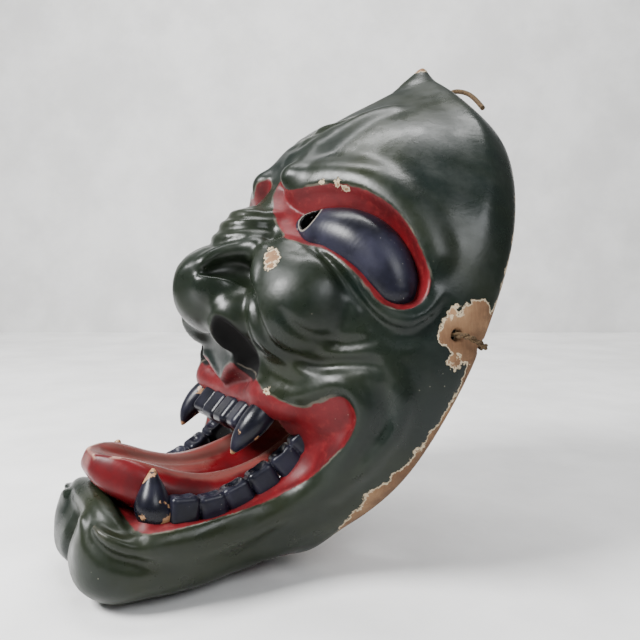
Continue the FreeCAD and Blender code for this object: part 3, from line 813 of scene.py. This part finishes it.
def lacquer_look():
    """Black-green and crimson lacquer over bare wood, painted by the numbers on the mesh."""
    look = Look("aged_lacquer", 0.3)
    cloud = look.noise(14, 5, 0.55, twist=0.4)
    fine = look.noise(330, 5, 0.6)
    drift = look.noise(60, 4, 0.6)
    green = look.mix(look.band(cloud, 0.32, 0.68), (0.004, 0.008, 0.0066), (0.012, 0.0155, 0.0068))
    green = look.mix(look.band(drift, 0.45, 0.8), green, (0.019, 0.024, 0.02), 0.5)
    red = look.mix(look.band(drift, 0.35, 0.7), CRIMSON, DEEP_CRIMSON)
    red = look.mix(look.band(fine, 0.5, 0.8), red, (0.24, 0.03, 0.026), 0.35)
    edge = look.math("ADD", look.painted("red"), look.wander(look.noise(240, 3), 1.4))
    is_red = look.band(edge, 0.25, -0.25)
    colour = look.mix(is_red, green, red)
    # Painted shade: near-black inside the nostrils, where shade falls in the recess.
    deep = look.band(look.painted("deep"), -1.8, -0.6)
    colour = look.mix(deep, colour, PAINTED_SHADE_BLACK)
    # Along the red's edge a pale line: partly rubbed wear, partly a painted highlight line. Crests are rubbed
    # pale by wear.
    from_edge = look.math("ABSOLUTE", look.math("SUBTRACT", edge, 0.3))
    pale_edges = look.times(look.band(from_edge, 0.6, 0.15), look.band(look.noise(90, 3), 0.42, 0.62))
    crest = look.band(look.painted("wear"), 0.16, 0.42)
    pale_edges = look.most(pale_edges, look.times(crest, look.band(drift, 0.45, 0.7)))
    colour = look.mix(pale_edges, colour, (0.22, 0.19, 0.15), 0.3)
    # Specks of dust and small knocks.
    specks = look.times(look.band(look.cells(300), 0.1, 0.04), look.band(look.noise(38, 3), 0.58, 0.66))
    colour = look.mix(specks, colour, (0.3, 0.28, 0.22), 0.5)
    # Chips down to the wood, with a rim of primer.
    bare = look.math("ADD", look.painted("bare"), look.wander(look.noise(150, 6, 0.7), BARE_REACH))
    primer = look.band(bare, 0.9, 0.5)
    chipped = look.band(bare, 0.0, -0.3)
    wood = wood_colour(look)
    smoke = look.band(look.noise(110, 5, 0.7), 0.25, 0.6)
    at_rim = look.times(look.band(look.painted("rim"), -15, -3), smoke)
    wood = look.mix(at_rim, wood, DARK_WOOD, 0.75)
    colour = look.mix(primer, colour, PRIMER)
    colour = look.mix(chipped, colour, wood)
    # The back is unpainted: dark, rubbed wood.
    behind = look.most(look.band(look.painted("inner"), 1.2, 0.7), look.band(look.painted("rim"), -0.7, -0.3))
    back_wood = look.mix(look.band(look.noise(30, 4), 0.3, 0.7), wood, DARK_WOOD)
    colour = look.mix(behind, colour, back_wood)
    dull = look.most(look.most(primer, behind), deep)
    look.set("Base Color", colour)
    gloss = look.blend(look.band(drift, 0.3, 0.75), 0.24, 0.44)
    gloss = look.blend(look.times(is_red, 0.45), gloss, 0.62)
    look.set("Roughness", look.blend(dull, gloss, 0.85))
    look.bump(look.noise(900, 3, 0.6), 0.1, 0.0002)
    look.bump(look.noise(75, 5, 0.55), 0.22, 0.0011)
    look.bump(look.times(primer, -1), 0.8, 0.0004)
    gouges = look.cells(75, "SMOOTH_F1", stretch=(1, 1, 0.45))
    look.bump(look.times(behind, gouges), 0.6, 0.0025)
    return look


def black_look(name, pupil_ring=False, worn_tip=False):
    """Blue-black lacquer of the eyes and teeth, rubbed pale on its edges."""
    look = Look(name, 0.25)
    cloud = look.noise(38, 5, 0.6)
    colour = look.mix(look.band(cloud, 0.35, 0.72), (0.0035, 0.0038, 0.007), (0.015, 0.015, 0.029))
    fine = look.noise(420, 4, 0.65)
    crest = look.times(look.band(look.painted("wear"), 0.42, 0.8), look.band(fine, 0.46, 0.62))
    colour = look.mix(crest, colour, (0.42, 0.35, 0.24), 0.75)
    if pupil_ring:
        from_hole = look.painted("pupil")
        colour = look.mix(look.band(from_hole, 1.7, 1.2), colour, (0.36, 0.33, 0.27), 0.5)
        # Painted shade: the wall of the pupil hole is near-black.
        colour = look.mix(look.band(from_hole, 0.9, 0.6), colour, PAINTED_SHADE_BLACK)
    if worn_tip:
        from_tip = look.painted("tip")
        patch = look.times(look.band(look.noise(95, 4, 0.6), 0.6, 0.62), look.band(from_tip, 26, 19))
        bare = look.most(patch, look.band(from_tip, 2.6, 1.4))
        colour = look.mix(bare, colour, WORN_WOOD, 0.9)
    dust = look.times(look.band(look.cells(500), 0.14, 0.05), look.band(look.noise(60, 2), 0.52, 0.62))
    colour = look.mix(dust, colour, (0.3, 0.29, 0.26), 0.5)
    look.set("Base Color", colour)
    look.set("Roughness", look.blend(look.band(cloud, 0.3, 0.75), 0.26, 0.44))
    look.bump(look.noise(700, 3), 0.08, 0.0002)
    look.bump(look.noise(110, 4), 0.15, 0.0007)
    return look


def tongue_look():
    """Crimson edge and side, and a greyish brown-red hollow."""
    look = Look("tongue_lacquer", 0.33)
    streak = look.noise(1, 5, 0.6, stretch=(260, 30, 60))
    top = look.mix(look.band(streak, 0.3, 0.7), (0.115, 0.05, 0.042), (0.16, 0.03, 0.026))
    drift = look.noise(80, 4)
    side = look.mix(look.band(drift, 0.35, 0.7), CRIMSON, DEEP_CRIMSON)
    edge = look.math("ADD", look.painted("edge"), look.wander(drift, 5))
    colour = look.mix(look.band(edge, -1.5, 1.5), top, side)
    pale_edges = look.times(look.band(look.painted("wear"), 0.12, 0.3), look.band(look.noise(130, 4), 0.5, 0.62))
    colour = look.mix(pale_edges, colour, (0.5, 0.3, 0.22), 0.7)
    look.set("Base Color", colour)
    look.set("Roughness", look.blend(look.band(drift, 0.3, 0.75), 0.26, 0.45))
    look.bump(look.noise(600, 3), 0.1, 0.0002)
    look.bump(streak, 0.2, 0.0006)
    return look


def hemp_look():
    """Dull twisted cord."""
    look = Look("twisted_cord", 0.9)
    strands = look.noise(1, 4, 0.6, stretch=(900, 2400, 2400))
    colour = look.mix(look.band(strands, 0.3, 0.7), (0.022, 0.014, 0.008), (0.13, 0.082, 0.04))
    look.set("Base Color", colour)
    look.bump(strands, 0.9, 0.0005)
    return look


def wood_look():
    look = Look("peg_wood", 0.8)
    look.set("Base Color", wood_colour(look))
    look.bump(look.noise(1, 6, 0.6, stretch=(1500, 1500, 160)), 0.4, 0.0003)
    return look


# ---- The pieces ----
CHIPS = [  # middle and radius of the places where the lacquer has come off
    (0, -18, 297, 3), (33, -76, 159, 1.6), (35.5, -76, 157, 2.6), (38.5, -76, 154, 2.8), (41, -76, 150.5, 2),
    (36, -66, 196, 1.2), (43, -63, 195.5, 1.9), (46, -61, 194.5, 1.6), (96, -10, 159, 7), (96, -17, 149, 8),
    (96, -6, 150, 10), (95, -21, 157, 4), (95, -12, 139, 4), (38, -54, 103, 1.4), (22, -74, 1, 3),
    (48, -46, 16, 2.4)]
RIM_WEAR = [  # height, how far the bare wood reaches up the side from the rim
    (20, 2), (36, 4), (50, 6), (64, 9), (80, 10), (95, 7), (110, 5), (125, 4), (140, 5), (160, 4), (180, 2.5),
    (205, 2), (230, 1.5), (260, 1), (300, 0.5)]
UPPER_FANG = [
    (31, -47.5, 98, 5.6), (31.3, -49, 93.5, 6.2), (31.8, -51.5, 87.5, 6), (31.4, -54, 80.5, 4.2),
    (30, -55, 73, 0.9)]
LOWER_FANG = [
    (31, -76.7, 41.9, 7.2), (30.5, -79.3, 43.9, 7.2), (29.5, -80.8, 48, 5.6), (28, -82.4, 52.6, 3.3),
    (26, -83.4, 57.2, 0.9)]
MOLARS = [
    (34.5, -68.5, 46.5), (35, -57, 50.5), (35.5, -48, 58), (36.5, -40, 67.5), (38, -33, 78), (40, -29, 89)]
MOLAR_HALF = (6, 5, 6)
MOLAR_UP = (-0.15, -0.62, 0.77)
ROW_SHIFTS = ((0, 0, 0), (0, 1.5, -3))  # the wearer's right row sits lower
INCISORS = [(6.3, -51, 88.5), (18.7, -50.5, 89)]
INCISOR_HALF = (6.5, 4.6, 7)
# Tongue: depth, half width, top, bottom, roundness.
TONGUE = [
    (7, 17, 103, 86, 0), (14, 20, 96.5, 77, 0), (22, 24.5, 92, 68, 0), (29, 26.5, 84, 57, 0),
    (35, 28, 76.5, 50, 0), (46, 29, 67, 45, 0), (58, 28.5, 60.5, 41, 0), (70, 28, 58.5, 39, 0),
    (80, 26, 58.5, 38, 0), (88, 22, 58.5, 39, 0), (96, 15, 57.5, 41, 0), (102, 8, 54.5, 45, 0)]
TONGUE_EDGE = (4.5, 7)  # width and depth of the raised edge
TIE_ROUTE = [
    (95.5, -14.6), (98, -12.8), (98.4, -8), (97.6, -3.6), (94, -1.9), (89, -1.9), (85, -2.4), (82.6, -5.5),
    (80, -10.5), (79.2, -13.4), (82, -14.6), (89, -14.6)]
STRAND_OFFSET, STRAND_RADIUS, STRAND_TURNS = 0.62, 0.68, 7
RED_FRONT = 89  # depth beyond which the chin is green
PEG_DEPTHS = (48, 74)
PEG_RADIUS = 2.5
PEG_HEIGHTS = (31, 45)
KNOT_MIDDLE, KNOT_SIZE, KNOT_CORD_RADIUS = (-3.65, -4, 278.2), 0.9, 1.15


def spot_distance(points):
    """Distance from each point to the nearest chip's edge, negative inside it."""
    spots = np.array(CHIPS, float)
    return np.min(np.linalg.norm(points[:, None] - spots[:, :3], axis=2) - spots[:, 3], axis=1)


def from_pupil(points):
    """Distance from each point to the pupil hole's wall, negative inside it."""
    start, end = (np.array(point[:3], float) for point in PUPIL_HOLE)
    folded = np.column_stack([np.abs(points[:, 0]), points[:, 1:]]) - start
    return np.linalg.norm(np.cross(folded, unit(end - start)), axis=1) - PUPIL_RADIUS


def red_distance(points, hollow):
    """Distance in mm to the nearest edge of the red, negative inside it."""
    x, y, z = np.abs(points[:, 0]), points[:, 1], points[:, 2]
    socket = outline_distance(x, z, socket_loop())
    front = 0.8 * (-y - RED_FRONT + 0.7 * (40 - z))
    mouth = -smooth_min(-outline_distance(x, z, mirrored_loop(MOUTH)), -front, 8)
    outside = np.minimum(-y - 16, hollow.sample(points) - 1.2)
    return np.maximum(np.maximum(np.minimum(socket, mouth), -outside), 0.5 - from_pupil(points))


def build_shell(form, look):
    """The carved head: outside, red recesses, bare rim and hollow back in one piece."""
    hollow = form.blank()
    sections_volume(hollow, HOLLOW, ONION, ROUND, 0, 10)
    clay = form.copy()
    open_head(clay)
    points, quads = biggest_part(*clay_mesh(clay, True))
    mesh = lightened(mesh_from("face_shell", points, quads), MOST_TRIANGLES)
    points = points_of(mesh)
    worn = np.interp(points[:, 2], *np.array(RIM_WEAR, float).T)
    paint(mesh, "red", red_distance(points, hollow))
    paint(mesh, "inner", np.minimum(hollow.sample(points), from_pupil(points) + 0.4))
    paint(mesh, "bare", np.minimum(spot_distance(points), -points[:, 1] - worn))
    paint(mesh, "rim", points[:, 1])
    # Painted shade: how far inside the nostril bore each point lies, for the near-black there.
    nostril = form.blank()
    rod(nostril, NOSTRIL, 0)
    paint(mesh, "deep", -nostril.sample(points))
    paint(mesh, "wear", sharpness(mesh))
    place_piece(mesh, "face_shell", look)


def clay_piece(clay, node, look, side=1, marks=()):
    """A piece from clay: side 1 or -1 for the wearer's left or right, 0 for one across both."""
    points, quads = clay_mesh(clay, side == 0)
    measured = [(name, measure(points)) for name, measure in marks]
    if side < 0:
        points, quads = points * (-1, 1, 1), quads[:, ::-1]
    mesh = mesh_from(node, points, quads)
    paint(mesh, "wear", sharpness(mesh))
    for name, values in measured:
        paint(mesh, name, values)
    place_piece(mesh, node, look)


def build_eyes(form, look):
    clay = Clay((26, -76, 144), (90, -16, 192), 0.7)
    strip(clay, laid(form, EYE_LINE), 0.5)
    bore(clay, PUPIL_HOLE, 0.8)
    for side, word in SIDES:
        clay_piece(clay, f"{word}_eye", look, side, [("pupil", from_pupil)])


def axes_along(tangent, up):
    """Rows: along a row of teeth, across it and up."""
    along = unit(tangent)
    up = unit(up - along * (up @ along))
    return np.array([along, np.cross(up, along), up])


def build_fangs(look):
    for word, line in (("upper", UPPER_FANG), ("lower", LOWER_FANG)):
        path = smooth_path(line, 6)
        reach = path[:, 3].max() + 2
        clay = Clay(path[:, :3].min(0) - reach, path[:, :3].max(0) + reach, SMALL_STEP)
        strip(clay, path, 0)
        clay.soften(2)
        tip = np.array(line[-1][:3])
        marks = [("tip", lambda points, tip=tip: np.linalg.norm(points - tip, axis=1))]
        for side, hand in SIDES:
            clay_piece(clay, f"{word}_{hand}_fang", look, side, marks)


def build_molars(look):
    for (side, word), shift in zip(SIDES, ROW_SHIFTS):
        middles = np.array(MOLARS) + shift
        clay = Clay(middles.min(0) - 11, middles.max(0) + 11, SMALL_STEP)
        for i, (middle, tangent) in enumerate(zip(middles, np.gradient(middles, axis=0))):
            axes = axes_along(tangent, np.array(MOLAR_UP))
            block(clay, middle, MOLAR_HALF, axes, 2.4, 0.3)
            crown = middle + axes[2] * (MOLAR_HALF[2] + 1.6)
            blob(clay, crown, (4.2, 3.6, 3), (0, 0, 20 * (i % 2)), 1.2, carve=True)
        clay_piece(clay, f"lower_{word}_tooth_row", look, side)


def build_incisors(look):
    clay = Clay((0, -64, 76), (28, -40, 100), SMALL_STEP)
    for x, y, z in INCISORS:
        axes = turned((-18, 0, -x * 0.5)).T
        block(clay, (x, y, z), INCISOR_HALF, axes, 3, 0.3)
    clay_piece(clay, "upper_tooth_row", look, 0)


def from_tongue_top(points):
    """Distance in mm outside the tongue's hollow top."""
    depths, widths, tops = np.array(TONGUE, float).T[:3]
    width, top = np.interp(-points[:, 1], depths, widths), np.interp(-points[:, 1], depths, tops)
    return np.maximum(np.abs(points[:, 0]) - width + TONGUE_EDGE[0], top - TONGUE_EDGE[1] - points[:, 2])


def build_tongue(look):
    """Thick tongue with a long hollow top, two shallow ribs and raised edges."""
    clay = Clay((0, -108, 32), (34, -2, 110), 0.8)
    sections_volume(clay, TONGUE, SQUARE, ROUND, 0, -8)
    clay.soften(4)
    bore(clay, [
        (0, -2, 124, 19), (0, -14, 114, 19), (0, -24, 106, 19.5), (0, -32, 97.5, 20.5), (0, -46, 86, 23.5),
        (0, -60, 80.5, 25.5), (0, -76, 79, 26.5), (0, -90, 77, 24.5), (0, -101, 74, 21)])
    groove(clay, [
        (0, -30, 78, 1.5, 0.5), (0, -45, 62, 2, 1.4), (0, -62, 55, 2, 1.6), (0, -80, 53, 2, 1.4),
        (0, -96, 54, 1.5, 0.2)], 2)
    groove(clay, [
        (11, -28, 80, 1.2, 0.2), (12, -45, 64, 1.6, 0.9), (12, -62, 57, 1.6, 1), (11, -80, 54, 1.6, 0.9),
        (7, -94, 54, 1.2, 0)], 2)
    clay_piece(clay, "tongue", look, 0, [("edge", from_tongue_top)])


ASKEW = (0.31, 0.17, 0.93)  # a direction that no tube follows


def tube_rings(path, radius, sides, closed):
    """Rings of points round a path, and the quads between them."""
    tangent = np.roll(path, -1, 0) - np.roll(path, 1, 0)
    size = np.full((len(path), 1, 1), radius)
    if not closed:
        tangent[0], tangent[-1] = path[1] - path[0], path[-1] - path[-2]
        size[[0, -1]] *= 0.35
    tangent = unit(tangent)
    normal = unit(np.cross(tangent, ASKEW))
    other = np.cross(tangent, normal)
    turn = np.linspace(0, 2 * np.pi, sides, endpoint=False)
    rings = path[:, None] + size * (
        np.cos(turn)[None, :, None] * normal[:, None] + np.sin(turn)[None, :, None] * other[:, None])
    i, j = np.meshgrid(np.arange(len(path) - (0 if closed else 1)), np.arange(sides), indexing="ij")
    i2, j2 = (i + 1) % len(path), (j + 1) % sides
    quads = np.stack([i * sides + j, i * sides + j2, i2 * sides + j2, i2 * sides + j], -1).reshape(-1, 4)
    return rings.reshape(-1, 3), quads


def joined(parts):
    """One set of points and quads from several."""
    starts = np.cumsum([0] + [len(points) for points, _ in parts])
    quads = [quads + start for (_, quads), start in zip(parts, starts)]
    return np.vstack([points for points, _ in parts]), np.vstack(quads)


def build_side_ties(look):
    """Two twisted strands that loop through the side hole and over the rim."""
    corners = np.array(TIE_ROUTE, float)
    ring = smooth_path(np.vstack([corners[-1], corners, corners[:2]]), 10)[10:-10]
    middle = np.column_stack([ring, np.full(len(ring), TIE_HOLE[1])])
    turns = np.linspace(0, 2 * np.pi * STRAND_TURNS, len(middle), endpoint=False)
    up = np.array([0, 0, 1])
    across = np.cross(unit(np.roll(middle, -1, 0) - np.roll(middle, 1, 0)), up)
    strands = []
    for phase in (0, np.pi):
        cosine, sine = np.cos(turns + phase)[:, None], np.sin(turns + phase)[:, None]
        strand = middle + STRAND_OFFSET * (cosine * across + sine * up)
        strands.append(tube_rings(strand, STRAND_RADIUS, 8, True))
    points, quads = joined(strands)
    for side, word in SIDES:
        mesh = mesh_from(f"{word}_side_tie", points * (side, 1, 1), quads[:, ::side])
        place_piece(mesh, f"{word}_side_tie", look)


def build_knot(look):
    """A small overhand knot pulled tight, drawn as a trefoil."""
    t = np.linspace(0, 2 * np.pi, 72, endpoint=False)
    x, y, z = np.sin(t) + 2 * np.sin(2 * t), -0.9 * np.sin(3 * t), np.cos(t) - 2 * np.cos(2 * t)
    path = np.array(KNOT_MIDDLE) + KNOT_SIZE * np.column_stack([x, y, z])
    tube = tube_rings(path, KNOT_CORD_RADIUS, 10, True)
    place_piece(mesh_from("crown_cord_knot", *tube), "crown_cord_knot", look)


def build_pegs(look):
    """Two whittled pegs under the tongue."""
    pegs = []
    for depth in PEG_DEPTHS:
        path = np.array([(0, -depth, height) for height in np.linspace(*PEG_HEIGHTS, 9)])
        pegs.append(tube_rings(path, PEG_RADIUS, 11, False))
    place_piece(mesh_from("tongue_pegs", *joined(pegs)), "tongue_pegs", look)


def build_crown_cord(look):
    """The stiff cord tail that arcs out behind the crown."""
    curve = bpy.data.curves.new("crown_cord", "CURVE")
    curve.dimensions = "3D"
    curve.bevel_depth = CORD_DIAMETER * MM / 2
    curve.bevel_resolution = 4
    curve.resolution_u = 24
    curve.use_fill_caps = True
    spline = curve.splines.new("NURBS")
    spline.points.add(len(CORD_ROUTE) - 1)
    for point, place in zip(spline.points, to_row(CORD_ROUTE)):
        point.co = (*place, 1)
    spline.order_u = 3
    spline.use_endpoint_u = True
    cord = place_piece(curve, "crown_cord", look)


def main():
    add_camera()
    hemp = hemp_look()
    build_crown_cord(hemp)
    add_surroundings()
    light_the_stage()
    form = head_form(HEAD_STEP)
    black = black_look("tooth_lacquer")
    build_shell(form, lacquer_look())
    build_eyes(form, black_look("eye_lacquer", pupil_ring=True))
    build_fangs(black_look("fang_lacquer", worn_tip=True))
    build_molars(black)
    build_incisors(black)
    build_tongue(tongue_look())
    build_side_ties(hemp)
    build_knot(hemp)
    build_pegs(wood_look())


main()
